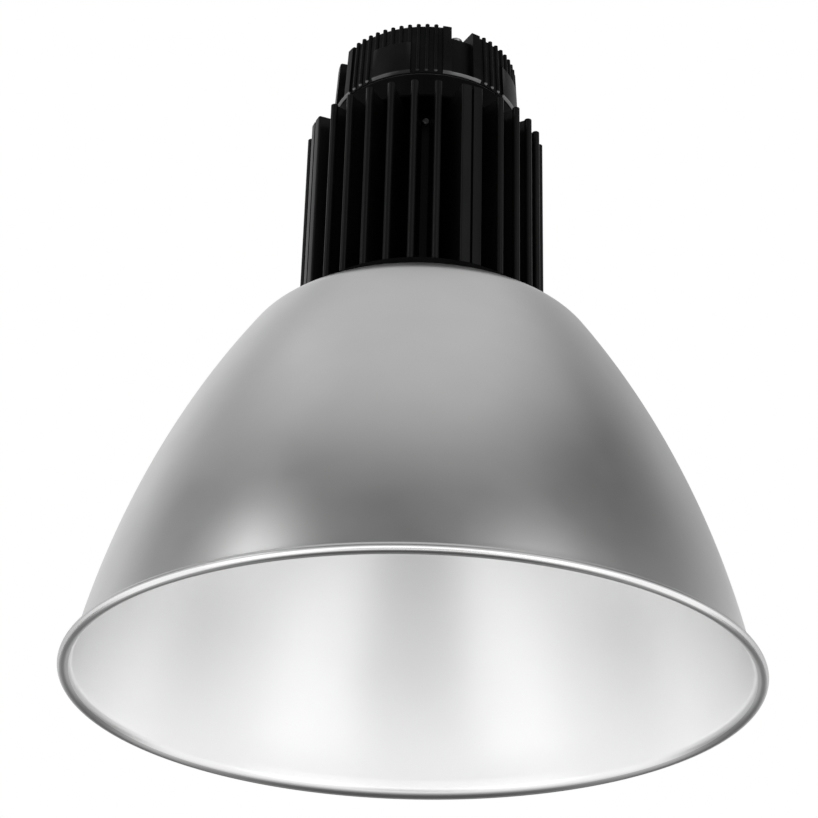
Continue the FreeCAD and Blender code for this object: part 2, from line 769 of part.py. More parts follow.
def make_capacitors():
    r, edge = capacitor_r, capacitor_edge
    groove_z, half = capacitor_groove_z, capacitor_groove_half
    cans = [turned_at([(0, 0), (r, 0), (r, groove_z), (r - capacitor_groove, groove_z + half),
                       (r, groove_z + 2 * half), (r, capacitor_h - edge), (r - edge, capacitor_h),
                       (0, capacitor_h)], on_board(place) + UP * board_top_z)
            for place in capacitor_places]
    return Part.makeCompound(cans)


def make_terminal_block():
    x, y, h = terminal_size
    place = FreeCAD.Vector(terminal_across, board_r - terminal_inset, 0)
    body = block(terminal_size, place, board_top_z)
    for k in range(terminal_ways):
        across = (k - (terminal_ways - 1) / 2) * x / terminal_ways
        way = place + FreeCAD.Vector(across, 0, 0)
        body = body.cut(rod(terminal_screw_r, board_top_z + h - terminal_screw_depth,
                            board_top_z + h + past, way))
        mouth = block((terminal_mouth[0], 2 * terminal_mouth[1], terminal_mouth[2]),
                      way - FreeCAD.Vector(0, y / 2, 0), board_top_z + terminal_mouth_rise)
        body = body.cut(mouth)
    return body


def make_heat_spreader():
    t, length, _ = spreader_size
    place = FreeCAD.Vector(spreader_inset - board_r, spreader_across, 0)
    upright = block(spreader_size, place, board_top_z)
    foot = block((spreader_foot, length, t), place + FreeCAD.Vector((spreader_foot - t) / 2, 0, 0),
                 board_top_z)
    return upright.fuse(foot).removeSplitter()


def make_standoff():
    return rod(standoff_r, 0, standoff_h).fuse(rod(m3[0], -standoff_stub, 0)).cut(
        rod(m3[0] + thread_play, standoff_h - standoff_bore_depth, standoff_h + past))


# ---- Hanger boss and cable gland -----------------------------------------------------------

def make_hanger_boss():
    foot = roof_seat_z
    top = foot + hanger_flange_h + hanger_h
    edge = hanger_edge
    small = hanger_flange_edge
    boss = turned([(0, foot - hanger_stub_length), (hanger_stub_r - small, foot - hanger_stub_length),
                   (hanger_stub_r, foot - hanger_stub_length + small), (hanger_stub_r, foot),
                   (hanger_flange_r, foot), (hanger_flange_r, foot + hanger_flange_h - small),
                   (hanger_flange_r - small, foot + hanger_flange_h),
                   (hanger_r, foot + hanger_flange_h),
                   (hanger_r, top - edge), (hanger_r - edge, top), (0, top)])
    boss = boss.cut(rod(hanger_thread_r, top - hanger_thread_depth, top + past))
    side_hole = Part.makeCylinder(set_screw_r + thread_play, hanger_r, at(0, 90, top - set_screw_drop),
                                  at(1, 90))
    return boss.cut(side_hole)


def make_set_screw():
    top = roof_seat_z + hanger_flange_h + hanger_h
    tip = hanger_thread_r + set_screw_tip_gap
    length = hanger_r - tip - set_screw_sunk
    start = at(tip, 90, top - set_screw_drop)
    grub = Part.makeCylinder(set_screw_r, length, start, at(1, 90))
    socket = hexagon(set_screw_r, 0, set_screw_socket + past)
    socket.rotate(CENTRE, FreeCAD.Vector(0, 1, 0), 90)
    socket.translate(start + at(length - set_screw_socket, 90))
    return grub.cut(socket)


def make_nut(flats, height, hole_r, place):
    return hexagon(flats, roof_under_z - height, roof_under_z, place).cut(
        rod(hole_r, roof_under_z - height - past, roof_under_z + past, place))


def gland_place():
    return at(gland_circle_r, gland_angle)


def make_gland_body():
    place = gland_place()
    hex_top = roof_seat_z + gland_hex_h
    neck_top = hex_top + gland_neck_h
    foot = roof_under_z - gland_nut_h - gland_thread_spare
    body = hexagon(gland_flats, roof_seat_z, hex_top, place)
    body = body.fuse([rod(gland_thread_r, foot, roof_seat_z, place),
                      rod(gland_thread_r - gland_neck_step, hex_top, neck_top, place)])
    body = body.cut(rod(seal_r + seal_play, hex_top - seal_drop, neck_top + past, place))
    return body.cut(rod(seal_bore_r + gland_bore_play, foot - past, hex_top, place))


def make_gland_seal():
    foot = roof_seat_z + gland_hex_h - seal_drop
    return tube(seal_r, seal_bore_r, foot, foot + seal_length, gland_place())


def make_gland_cap():
    place = gland_place()
    hex_top = roof_seat_z + gland_hex_h
    foot = hex_top + gland_flat_gap
    top = foot + gland_cap_h
    under = top - gland_cap_top
    in_r = gland_thread_r - gland_neck_step + thread_play
    shelf_z = hex_top + gland_neck_h + gland_cap_clear
    seal_hole_r = seal_r + seal_play
    mouth_r = seal_bore_r + gland_bore_play
    across, along = gland_cap_chamfer
    cap = turned_at([(mouth_r, top), (gland_cap_r - across, top), (gland_cap_r, top - along),
                     (gland_cap_r, foot), (in_r, foot), (in_r, shelf_z),
                     (seal_hole_r, shelf_z + gland_cap_clear), (seal_hole_r, under),
                     (mouth_r, under)], place)
    grips = [rod(gland_grip_r, foot - past, top - gland_grip_stop,
                 place + at(gland_cap_r + gland_grip_out, angle))
             for angle in ring_angles(gland_grip_count, 0)]
    return cap.cut(Part.makeCompound(grips))


# ---- Build ---------------------------------------------------------------------------------

def main():
    os.makedirs("parts", exist_ok=True)
    webs = ring_angles(web_count, web_angle)
    between = ring_angles(web_count, between_webs)
    washer_r = m4[1] + washer_margin
    pocket_washer_r = m5[1] + washer_margin

    export("reflector", make_reflector())
    reflector_washer = tube(washer_r, m4[0] + seat_gap, -washer_t, 0)
    export("reflector_washers", on_circle(reflector_washer, reflector_screw_r,
                                          ring_angles(reflector_screw_count, web_angle),
                                          flange_under_z))
    reflector_screw = facing_down(screw(m4, tapped_depth + sheet + washer_t))
    export("reflector_screws", on_circle(reflector_screw, reflector_screw_r,
                                         ring_angles(reflector_screw_count, web_angle),
                                         flange_under_z - washer_t))

    export("base_plate", make_base_plate())
    base_screw = facing_down(countersunk_screw(m5, plate_top_z - flange_z + port_grip))
    export("base_plate_screws", on_circle(base_screw, port_r, webs, flange_z))
    export("thermal_pad", make_thermal_pad())
    export("led_emitter", make_led_emitter())
    export("led_holder", make_led_holder())
    holder_screw = facing_down(screw(m3, holder_h + tapped_depth))
    export("led_holder_screws", on_circle(holder_screw, holder_screw_r, holder_screw_angles(),
                                          flange_z - holder_h))
    export("lens_frame", make_lens_frame())
    frame_screw = facing_down(screw(m4, frame_h - frame_counterbore + sheet + tapped_depth))
    export("lens_frame_screws", on_circle(frame_screw, frame_screw_r, frame_screw_angles(),
                                          frame_foot_z + frame_counterbore))
    export("lens_gasket", tube(lens_r, lens_r - gasket_width, lens_z - gasket_t, lens_z))
    export("lens", make_lens())
    export("lens_spacer", tube(lens_r, lens_r - gasket_width, lens_z + lens_t, flange_under_z))

    export("heat_sink", make_heat_sink())
    export("core_screw", make_core_screw())
    ear_z = flange_z - holder_h + ear_t
    lead_place = at(wire_circle_r, lead_angle)
    export("led_lead", rod(lead_r, ear_z, board_z, lead_place))
    export("lead_sleeve", tube(lead_r + seat_gap + sleeve_wall, lead_r + seat_gap,
                               flange_z - sleeve_foot_reach, neck_floor_z + sleeve_top_reach,
                               lead_place))

    export("neck_ring", make_neck_ring())
    neck_screw = screw(m4, neck_floor + tapped_depth)
    export("neck_ring_screws", on_circle(neck_screw, neck_screw_r, between, neck_floor_z))
    export("neck_gasket", make_neck_gasket())
    export("driver_housing", make_driver_housing())
    housing_washer = tube(pocket_washer_r, m5[0] + seat_gap, 0, washer_t)
    export("housing_washers", on_circle(housing_washer, port_r, webs, pocket_floor_z))
    housing_screw = screw(m5, pocket_floor_z + washer_t - sink_top_z + port_grip)
    export("housing_screws", on_circle(housing_screw, port_r, webs, pocket_floor_z + washer_t))

    export("driver_board", make_driver_board())
    export("driver_standoffs", on_circle(make_standoff(), standoff_circle_r, between, neck_floor_z))
    board_screw = screw(m3, board_t + board_screw_bite)
    export("driver_board_screws", on_circle(board_screw, standoff_circle_r, between, board_top_z))
    export("driver_transformer", make_transformer())
    export("driver_choke", tube(choke_r, choke_hole_r, board_top_z, board_top_z + choke_h,
                                on_board(choke_place)))
    export("driver_capacitors", make_capacitors())
    export("driver_heat_spreader", make_heat_spreader())
    export("terminal_block", make_terminal_block())

    export("hanger_gasket", tube(hanger_flange_r - hanger_gasket_inset, hanger_stub_r + seat_gap,
                                 housing_top_z, roof_seat_z))
    export("hanger_boss", make_hanger_boss())
    export("hanger_set_screw", make_set_screw())
    export("hanger_nut", make_nut(hanger_nut_flats, hanger_nut_h, hanger_stub_r + thread_play, CENTRE))
    export("gland_gasket", tube(gland_flats / 2, gland_thread_r + seat_gap, housing_top_z,
                                roof_seat_z, gland_place()))
    export("gland_body", make_gland_body())
    export("gland_lock_nut", make_nut(gland_flats, gland_nut_h, gland_thread_r + thread_play,
                                      gland_place()))
    export("gland_seal", make_gland_seal())
    export("gland_cap", make_gland_cap())


main()
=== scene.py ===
from math import atan2, cos, degrees, hypot, pi, radians, sin, sqrt

import bmesh
import bpy
from mathutils import Matrix, Vector


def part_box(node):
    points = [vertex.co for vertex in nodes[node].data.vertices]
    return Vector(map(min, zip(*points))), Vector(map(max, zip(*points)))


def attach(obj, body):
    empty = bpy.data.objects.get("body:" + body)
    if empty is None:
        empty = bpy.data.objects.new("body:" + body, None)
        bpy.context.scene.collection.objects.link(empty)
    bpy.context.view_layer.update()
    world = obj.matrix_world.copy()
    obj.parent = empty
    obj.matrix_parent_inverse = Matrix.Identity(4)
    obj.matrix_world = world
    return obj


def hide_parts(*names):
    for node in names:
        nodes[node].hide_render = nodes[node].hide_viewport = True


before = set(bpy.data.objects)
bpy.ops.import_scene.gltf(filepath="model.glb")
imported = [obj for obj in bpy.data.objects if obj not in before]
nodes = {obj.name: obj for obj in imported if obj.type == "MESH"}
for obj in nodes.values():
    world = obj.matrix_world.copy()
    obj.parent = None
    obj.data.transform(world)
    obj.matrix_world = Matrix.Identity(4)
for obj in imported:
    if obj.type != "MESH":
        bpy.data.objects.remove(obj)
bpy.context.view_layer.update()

# High bay light. Metres, +Z up, the same frame as the CAD, with the front towards -Y.

MM = 0.001
WHITE = (1, 1, 1, 1)
scene = bpy.context.scene


# ---- Node materials ------------------------------------------------------------------------

NOISE_SPAN = (0.3, 0.7)           # most of what a noise texture gives lies in here
WIDE_NOISE_SPAN = (0.2, 0.8)      # and nearly all of it in here


class Tree:
    """Short calls for adding, linking and reckoning with nodes."""

    def __init__(self, tree):
        self.tree = tree

    def node(self, kind, **settings):
        made = self.tree.nodes.new(kind)
        for key, value in settings.items():
            setattr(made, key, value)
        return made

    def link(self, output, target):
        self.tree.links.new(output, target)

    def maths(self, operation, a, b):
        made = self.node("ShaderNodeMath", operation=operation)
        for socket, value in zip(made.inputs, (a, b)):
            if isinstance(value, (int, float)):
                socket.default_value = value
            else:
                self.link(value, socket)
        return made.outputs[0]

    def spread(self, factor, low, high, start, end):
        """factor from start to end, turned into low to high and held there beyond."""
        made = self.node("ShaderNodeMapRange")
        self.link(factor, made.inputs["Value"])
        for socket, value in (("From Min", start), ("From Max", end), ("To Min", low), ("To Max", high)):
            made.inputs[socket].default_value = value
        return made.outputs["Result"]

    def apart(self, vector):
        """The X, Y and Z of a vector."""
        split = self.node("ShaderNodeSeparateXYZ")
        self.link(vector, split.inputs[0])
        return split.outputs

    def seen_as_background(self):
        """Two factors: 1 for a ray straight from the camera, and 1 for one mirrored or through glass."""
        path = self.node("ShaderNodeLightPath")
        mirrored = self.maths("MAXIMUM", path.outputs["Is Glossy Ray"], path.outputs["Is Transmission Ray"])
        return path.outputs["Is Camera Ray"], mirrored


class Shader(Tree):
    """A Principled material and the textures that feed it. Texture scales count per metre."""

    def __init__(self, name, colour, roughness, **constants):
        self.material = bpy.data.materials.new(name)
        self.material.use_nodes = True
        super().__init__(self.material.node_tree)
        self.bsdf = self.tree.nodes["Principled BSDF"]
        self.bsdf.inputs["Base Color"].default_value = (*colour, 1.0)
        self.bsdf.inputs["Roughness"].default_value = roughness
        for key, value in constants.items():
            self.bsdf.inputs[key.replace("_", " ")].default_value = value
        self.place = self.node("ShaderNodeTexCoord").outputs["Object"]

    def texture(self, vector, scale, detail):
        made = self.node("ShaderNodeTexNoise")
        made.inputs["Scale"].default_value = scale
        made.inputs["Detail"].default_value = detail
        self.link(vector, made.inputs["Vector"])
        return made.outputs["Fac"]

    def noise(self, scale, detail=3.0, along_axis=1.0):
        """Noise in the part's own space. An along_axis below 1 draws it out along the lamp's axis."""
        mapping = self.node("ShaderNodeMapping")
        mapping.inputs["Scale"].default_value = (1, 1, along_axis)
        self.link(self.place, mapping.inputs["Vector"])
        return self.texture(mapping.outputs["Vector"], scale, detail)

    def polar(self):
        """The point's distance from the lamp's axis, and its height."""
        x, y, z = self.apart(self.place)
        flat = self.node("ShaderNodeCombineXYZ")
        self.link(x, flat.inputs[0])
        self.link(y, flat.inputs[1])
        radius = self.node("ShaderNodeVectorMath", operation="LENGTH")
        self.link(flat.outputs[0], radius.inputs[0])
        return radius.outputs["Value"], z

    def rings(self, scale):
        """Fine rings round the lamp's axis, as a lathe leaves them: noise by radius and height."""
        radius, height = self.polar()
        joined = self.node("ShaderNodeCombineXYZ")
        self.link(radius, joined.inputs[0])
        self.link(height, joined.inputs[2])
        return self.texture(joined.outputs[0], scale, detail=2.0)

    def tint(self, factor, low, high, span=NOISE_SPAN):
        ramp = self.node("ShaderNodeValToRGB")
        for element, position, colour in zip(ramp.color_ramp.elements, span, (low, high)):
            element.position = position
            element.color = (*colour, 1.0)
        self.link(factor, ramp.inputs["Fac"])
        self.link(ramp.outputs["Color"], self.bsdf.inputs["Base Color"])

    def vary_roughness(self, factor, low, high):
        self.link(self.spread(factor, low, high, *WIDE_NOISE_SPAN), self.bsdf.inputs["Roughness"])

    def bump(self, height, strength, distance):
        """Adds to the bumps already there. distance is in metres."""
        made = self.node("ShaderNodeBump")
        made.inputs["Strength"].default_value = strength
        made.inputs["Distance"].default_value = distance
        self.link(height, made.inputs["Height"])
        if self.bsdf.inputs["Normal"].links:
            self.link(self.bsdf.inputs["Normal"].links[0].from_socket, made.inputs["Normal"])
        self.link(made.outputs["Normal"], self.bsdf.inputs["Normal"])


def grey(level):
    return (level, level, level)


# ---- Finishes ------------------------------------------------------------------------------

# The picture's denoiser treats metal that is smoother than a roughness of about 0.274 in another
# way than rougher metal, and a surface that crosses it gets flecks. So every metal here keeps to
# one side of it.

TURNED_DULL = 0.8                 # the duller patches of a turned piece, as a share of its colour

# Painted highlight along a casting's foot, in mm: wholly up to the first height over its foot and no
# more at the second, starting at the first depth in from its largest radius and wholly at the second.
HIGHLIGHT_HEIGHTS = (1.5, 2.4)
HIGHLIGHT_DEPTHS = (1.3, 0.78)
HIGHLIGHT_PATCHES = (0.40, 0.56)        # the noise levels where the painted highlight is least and wholly there
HIGHLIGHT_LEAST = 0.1
HIGHLIGHT_LEVEL = 0.20                   # how light the painted highlight is


def spun_aluminium(name, dull, bright, rough, anisotropic):
    """Sheet spun on a lathe: its mirrored light is drawn out across the fine rings."""
    s = Shader(name, grey(bright), rough[0], Metallic=1.0, Anisotropic=anisotropic)
    tangent = s.node("ShaderNodeTangent", direction_type="RADIAL", axis="Z")
    s.link(tangent.outputs[0], s.bsdf.inputs["Tangent"])
    s.tint(s.noise(14.0, detail=4.0), grey(dull), grey(bright), WIDE_NOISE_SPAN)
    s.vary_roughness(s.noise(30.0, detail=5.0), *rough)
    s.bump(s.rings(300.0), strength=0.06, distance=0.0002)
    return s.material


def black_anodised(name, dark, light, rough, shine):
    """An extrusion's black: fine lines along the axis, darker and lighter patches drawn out with them."""
    s = Shader(name, grey(dark), rough[0], Specular_IOR_Level=shine)
    s.tint(s.noise(40.0, detail=5.0, along_axis=0.25), grey(dark), grey(light))
    s.vary_roughness(s.noise(22.0, detail=4.0), *rough)
    s.bump(s.noise(260.0, along_axis=0.02), strength=0.12, distance=0.0003)
    return s.material


def black_cast(name, dark, light, rough, shine, highlight_node=None):
    """A casting's black: fine grain over faint broad waves, with a painted highlight along the foot of the
    node named.
    """
    s = Shader(name, grey(dark), rough[0], Specular_IOR_Level=shine)
    s.tint(s.noise(60.0, detail=6.0), grey(dark), grey(light))
    s.vary_roughness(s.noise(35.0, detail=4.0), *rough)
    s.bump(s.noise(1400.0), strength=0.25, distance=0.0002)
    s.bump(s.noise(90.0, detail=2.0), strength=0.08, distance=0.001)
    if highlight_node:
        paint_foot_highlight(s, highlight_node)
    return s.material


def paint_foot_highlight(s, node):
    """A painted highlight along the lowest edge of a casting's panels and ribs, stronger in some places."""
    low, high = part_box(node)
    foot_z, out_r = low[2], high[0]
    radius, height = s.polar()
    near_foot = s.spread(height, 1.0, 0.0, *(foot_z + up * MM for up in HIGHLIGHT_HEIGHTS))
    near_edge = s.spread(radius, 0.0, 1.0, *(out_r - depth * MM for depth in HIGHLIGHT_DEPTHS))
    patchy = s.spread(s.noise(28.0, detail=2.0), HIGHLIGHT_LEAST, 1.0, *HIGHLIGHT_PATCHES)
    amount = s.maths("MULTIPLY", s.maths("MULTIPLY", near_foot, near_edge), patchy)
    mix = s.node("ShaderNodeMix", data_type="RGBA")
    s.link(amount, mix.inputs["Factor"])
    colour = s.bsdf.inputs["Base Color"]
    s.link(colour.links[0].from_socket, mix.inputs["A"])
    mix.inputs["B"].default_value = (*grey(HIGHLIGHT_LEVEL), 1.0)
    s.link(mix.outputs["Result"], colour)


def turned_metal(name, colour, rough):
    """Bare or plated metal with fine rings."""
    s = Shader(name, colour, rough[0], Metallic=1.0)
    s.tint(s.noise(120.0, detail=4.0), [TURNED_DULL * level for level in colour], colour)
    s.vary_roughness(s.noise(90.0, detail=4.0), *rough)
    s.bump(s.rings(1500.0), strength=0.08, distance=0.0002)
    return s.material


def moulded(name, dark, light, rough):
    """Plastic, rubber, ferrite or a circuit board: plain, with a fine grain."""
    s = Shader(name, light, rough[0])
    s.tint(s.noise(70.0, detail=4.0), dark, light)
    s.vary_roughness(s.noise(50.0), *rough)
    s.bump(s.noise(1100.0, detail=2.0), strength=0.12, distance=0.0002)
    return s.material


def lens_glass():
    """Clear glass, hardly uneven."""
    s = Shader("lens_glass", (0.92, 0.95, 0.94), roughness=0.04, Transmission_Weight=1.0, IOR=1.5)
    s.vary_roughness(s.noise(40.0, detail=4.0), 0.03, 0.08)
    s.bump(s.noise(25.0, detail=2.0), strength=0.02, distance=0.0005)
    return s.material


def phosphor():
    """The yellow face of the unlit emitter."""
    s = Shader("emitter_face", (0.86, 0.66, 0.16), roughness=0.45)
    s.tint(s.noise(300.0), (0.74, 0.52, 0.10), (0.88, 0.68, 0.18))
    s.bump(s.noise(800.0, detail=2.0), strength=0.1, distance=0.0002)
    return s.material


collar_finish = black_cast("painted_collar", dark=0.0015, light=0.003, rough=(0.50, 0.60), shine=0.02)
BY_SLOT = {
    "black_extrusion": black_anodised("anodised_extrusion", dark=0.0015, light=0.004,
                                      rough=(0.30, 0.40), shine=0.11),
    "black_casting": collar_finish,
    "bare_aluminium": turned_metal("bare_aluminium", (0.72, 0.73, 0.74), (0.28, 0.42)),
    "steel": turned_metal("plated_steel", (0.56, 0.56, 0.57), (0.28, 0.36)),
    "glass": lens_glass(),
    "emitter": phosphor(),
    "silicone": moulded("black_silicone", grey(0.008), grey(0.016), (0.5, 0.65)),
    "white_silicone": moulded("white_silicone", (0.68, 0.67, 0.64), (0.76, 0.75, 0.72), (0.5, 0.6)),
    "white_plastic": moulded("white_plastic", (0.74, 0.73, 0.70), (0.82, 0.81, 0.79), (0.35, 0.45)),
    "black_plastic": moulded("black_plastic", (0.010, 0.010, 0.011), (0.018, 0.018, 0.019), (0.35, 0.5)),
    "circuit_board": moulded("circuit_board", (0.010, 0.09, 0.035), (0.016, 0.13, 0.05), (0.3, 0.4)),
    "ferrite": moulded("ferrite", (0.035, 0.034, 0.033), (0.06, 0.058, 0.056), (0.45, 0.6)),
    "green_plastic": moulded("green_plastic", (0.02, 0.20, 0.07), (0.03, 0.26, 0.10), (0.35, 0.45)),
}
BY_NODE = {
    "base_plate": collar_finish,
    # its foot gets a painted highlight
    "driver_housing": black_cast("painted_housing", dark=0.0015, light=0.004, rough=(0.32, 0.44),
                                 shine=0.08, highlight_node="driver_housing"),
}

# The reflector's finishes, in the order of their numbers.
OUTSIDE, INSIDE, BEAD_SIDE, BEAD_SHADE = range(4)
REFLECTOR_FINISHES = (
    spun_aluminium("spun_outside", dull=0.55, bright=0.61, rough=(0.30, 0.36), anisotropic=0.5),
    spun_aluminium("spun_inside", dull=0.945, bright=0.965, rough=(0.277, 0.30), anisotropic=0.5),
    spun_aluminium("bead_side", dull=0.90, bright=0.96, rough=(0.20, 0.26), anisotropic=0.3),
    # painted shade: a darker copy of the bead's metal for its underside
    spun_aluminium("bead_shade", dull=0.66, bright=0.72, rough=(0.28, 0.32), anisotropic=0.3),
)


# ---- Reflector -----------------------------------------------------------------------------

# The sheet's section, in mm. Each arc is given by the radius of its outer face, but the curl by
# that of the side that shows. A lean is the way from the sheet's inner face to its outer one, in
# degrees up from straight out.
SHEET = 1.5
RIM_R = 210.0
CURL_R = 3.2
CURL_LEANS = (305.0, 52.0)        # from the bead's free edge to where the flare takes over
FLARE_R = 8.0
WALL_R = 598.0
SHOULDER_R = 34.0
FLAT_R = 85.0                     # where the shoulder ends and the flat top begins
TOP_Z = 243.0
HOLE_R = 42.0
CURL_STEPS = 44
FLARE_STEPS = 8
WALL_STEPS = 40
SHOULDER_STEPS = 16
TURNS = 320
BEAD_ARCS = 2                     # the curl and the flare
BEAD_SIDE_LEANS = (124.0, 168.0)  # the burnished line round the bead's side
BEAD_SHADE_LEANS = (40.0, 124.0)   # its underside, darkened with painted shade


def new_object(name, mesh):
    made = bpy.data.objects.new(name, mesh)
    scene.collection.objects.link(made)
    return made


def lathe(name, profile, materials):
    """Turns a closed profile of (radius, height, material number) round the axis, all of it smooth."""
    mesh = bpy.data.meshes.new(name)
    bm = bmesh.new()
    turns = [2 * pi * k / TURNS for k in range(TURNS)]
    rings = [[bm.verts.new((radius * cos(turn), radius * sin(turn), height)) for turn in turns]
             for radius, height, _ in profile]
    for (_, _, material), low, high in zip(profile, rings, rings[1:] + rings[:1]):
        for k in range(TURNS):
            after = (k + 1) % TURNS
            face = bm.faces.new((low[k], low[after], high[after], high[k]))
            face.smooth = True
            face.material_index = material
    bmesh.ops.recalc_face_normals(bm, faces=bm.faces)
    bm.to_mesh(mesh)
    bm.free()
    for material in materials:
        mesh.materials.append(material)
    return new_object(name, mesh)


def on_arc(centre, radius, lean):
    return (centre[0] + radius * cos(radians(lean)), centre[1] + radius * sin(radians(lean)))


def lean_between(a, b):
    return degrees(atan2(b[1] - a[1], b[0] - a[0]))


def meeting_point(a, r_a, b, r_b):
    """Where the circles of radius r_a round a and r_b round b cross, on the axis's side."""
    across, up = a[0] - b[0], a[1] - b[1]
    gap = hypot(across, up)
    along = (gap ** 2 + r_b ** 2 - r_a ** 2) / (2 * gap)
    aside = sqrt(r_b ** 2 - along ** 2)
    return (b[0] + (along * across - aside * up) / gap, b[1] + (along * up + aside * across) / gap)


def reflector_arcs():
    """Centre, outer-face radius, first and last lean and number of steps of each arc, rim to top.
    The radius is negative where the centre lies on the outer face's side."""
    free_edge, flare_start = CURL_LEANS
    curl_face = CURL_R - SHEET
    curl_centre = (RIM_R - CURL_R, CURL_R)
    flare_centre = on_arc(curl_centre, FLARE_R - curl_face, flare_start)
    shoulder_centre = (FLAT_R, TOP_Z - SHOULDER_R)
    wall_centre = meeting_point(shoulder_centre, WALL_R - SHOULDER_R, flare_centre, WALL_R + FLARE_R)
    foot_lean = lean_between(wall_centre, flare_centre)
    top_lean = lean_between(wall_centre, shoulder_centre)
    return [(curl_centre, -curl_face, free_edge, flare_start, CURL_STEPS),
            (flare_centre, -FLARE_R, flare_start, foot_lean, FLARE_STEPS),
            (wall_centre, WALL_R, foot_lean, top_lean, WALL_STEPS),
            (shoulder_centre, SHOULDER_R, top_lean, 90.0, SHOULDER_STEPS)]


def bead_finish(lean):
    if BEAD_SIDE_LEANS[0] < lean < BEAD_SIDE_LEANS[1]:
        return BEAD_SIDE
    if BEAD_SHADE_LEANS[0] < lean < BEAD_SHADE_LEANS[1]:
        return BEAD_SHADE
    return OUTSIDE if lean > BEAD_SIDE_LEANS[1] else INSIDE


def reflector_profile():
    """The sheet's section: along the outer face from the bead's edge to the hole, and back inside."""
    outer, inner = [], []
    for number, (centre, radius, first, last, steps) in enumerate(reflector_arcs()):
        for k in range(steps):
            lean = first + (last - first) * k / steps
            finish = bead_finish(lean) if number < BEAD_ARCS else INSIDE
            outer.append((*on_arc(centre, radius, lean), OUTSIDE))
            inner.append((*on_arc(centre, radius - SHEET, lean), finish))
    for radius in (FLAT_R, HOLE_R):
        outer.append((radius, TOP_Z, OUTSIDE))
        inner.append((radius, TOP_Z - SHEET, INSIDE))
    return [(r * MM, z * MM, finish) for r, z, finish in outer + inner[::-1]]


reflector = lathe("reflector_shell", reflector_profile(), REFLECTOR_FINISHES)
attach(reflector, "root")
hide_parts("reflector")


# ---- CAD nodes that stay -------------------------------------------------------------------

JOIN_DISTANCE = 1e-6              # points closer than this are one
EASED_ANGLE = radians(35.0)       # edges sharper than this are eased
EASING_STEPS = 2
EASED_WIDTH = 0.1                 # mm
EASED_WIDTHS = {"heat_sink": 0.25, "driver_housing": 0.35, "neck_ring": 0.3, "base_plate": 0.3,
                "hanger_boss": 0.3, "gland_body": 0.3, "gland_cap": 0.25, "lens_frame": 0.3}


def easing_group():
    """Geometry nodes: joins the mesh along its sharp edges and leaves its shading to the modifiers."""
    group = bpy.data.node_groups.new("join_edges", "GeometryNodeTree")
    group.interface.new_socket("Geometry", in_out="INPUT", socket_type="NodeSocketGeometry")
    group.interface.new_socket("Geometry", in_out="OUTPUT", socket_type="NodeSocketGeometry")
    start = group.nodes.new("NodeGroupInput")
    plain = group.nodes.new("GeometryNodeRemoveAttribute")
    plain.inputs["Name"].default_value = "custom_normal"
    joined = group.nodes.new("GeometryNodeMergeByDistance")
    joined.inputs["Distance"].default_value = JOIN_DISTANCE
    smooth = group.nodes.new("GeometryNodeSetShadeSmooth")
    end = group.nodes.new("NodeGroupOutput")
    chain = (start, plain, joined, smooth, end)
    for a, b in zip(chain, chain[1:]):
        group.links.new(a.outputs[0], b.inputs[0])
    return group


join_edges = easing_group()


def finish_node(name):
    """Its own material, eased edges, and shading that is flat on flat faces."""
    node = nodes[name]
    for number, used in enumerate(node.data.materials):
        node.material_slots[number].link = "OBJECT"
        node.material_slots[number].material = BY_NODE.get(name, BY_SLOT[used.name.split(".")[0]])
    join = node.modifiers.new("join_edges", "NODES")
    join.node_group = join_edges
    ease = node.modifiers.new("ease", "BEVEL")
    ease.width = EASED_WIDTHS.get(name, EASED_WIDTH) * MM
    ease.segments = EASING_STEPS
    ease.limit_method = "ANGLE"
    ease.angle_limit = EASED_ANGLE
    ease.harden_normals = True


for name in nodes:
    if name != "reflector":
        finish_node(name)


# ---- Stage ---------------------------------------------------------------------------------

# The camera sees a white background. Metal mirrors a grey studio instead, whose levels follow. Four
# numbers in one are two levels, and the two places where one turns into the other.

FLOOR_Z = -2.2                    # well below the lamp, which hangs
FLOOR_R = 7.0
FLOOR_SIDES = 128
FLOOR_GLOW = 0.8                  # share of the floor that reads as the white background
PAPER = 0.86
PAPER_VARIES = 0.005
AMBIENT = 0.95                    # the room's level for all light that isn't mirrored

# The wall, by the sine of the height above the horizon, and the level there. White reaches a little
# way up, then comes the dim upper wall, then a paler ceiling.
STUDIO = ((0.42, 1.0), (0.54, 0.28), (0.78, 0.05), (0.86, 0.50), (0.93, 0.77), (0.985, 0.78))
BACKDROP_START = (0.12, 0.60)     # towards the back of the room the white
BACKDROP_TOP = (0.82, 0.98)       # goes on to this height
BACKDROP_SIDES = (1.0, 0.60)      # at these levels, on the left and on the right
LOW_BAND = 0.55                   # at the back a dimmer strip lies along the horizon
LOW_BAND_FOOT = (-0.34, -0.30)
LOW_BAND_TOP = (0.31, 0.42)
FRONT_WALL = (0.93, 1.0, -0.34, -0.12)   # in front the wall pales from the floor up to the horizon
HALVES = (-0.3, 0.3)              # how one half of the room goes over into the other

# The floor, by the distance in metres from under the lamp, or along Y from there.
FLOOR_FRONT = (-3.6, -0.8)        # along Y: the front's levels hold until the first, and end at the second
FRONT_FLOOR = (0.44, 0.93, 3.5, 6.6)     # in front it pales from this far out to its edge
LIT_FLOOR = (1.0, 0.0, 2.8, 3.7)         # and nearer the lamp it is lit
UNDER_LAMP = (0.10, 1.0, 1.05, 2.6)      # painted shadow: all round it is dark right under the lamp
BACK_FLOOR = (1.0, 0.12, 1.2, 2.8)       # along Y: and painted shade again behind it
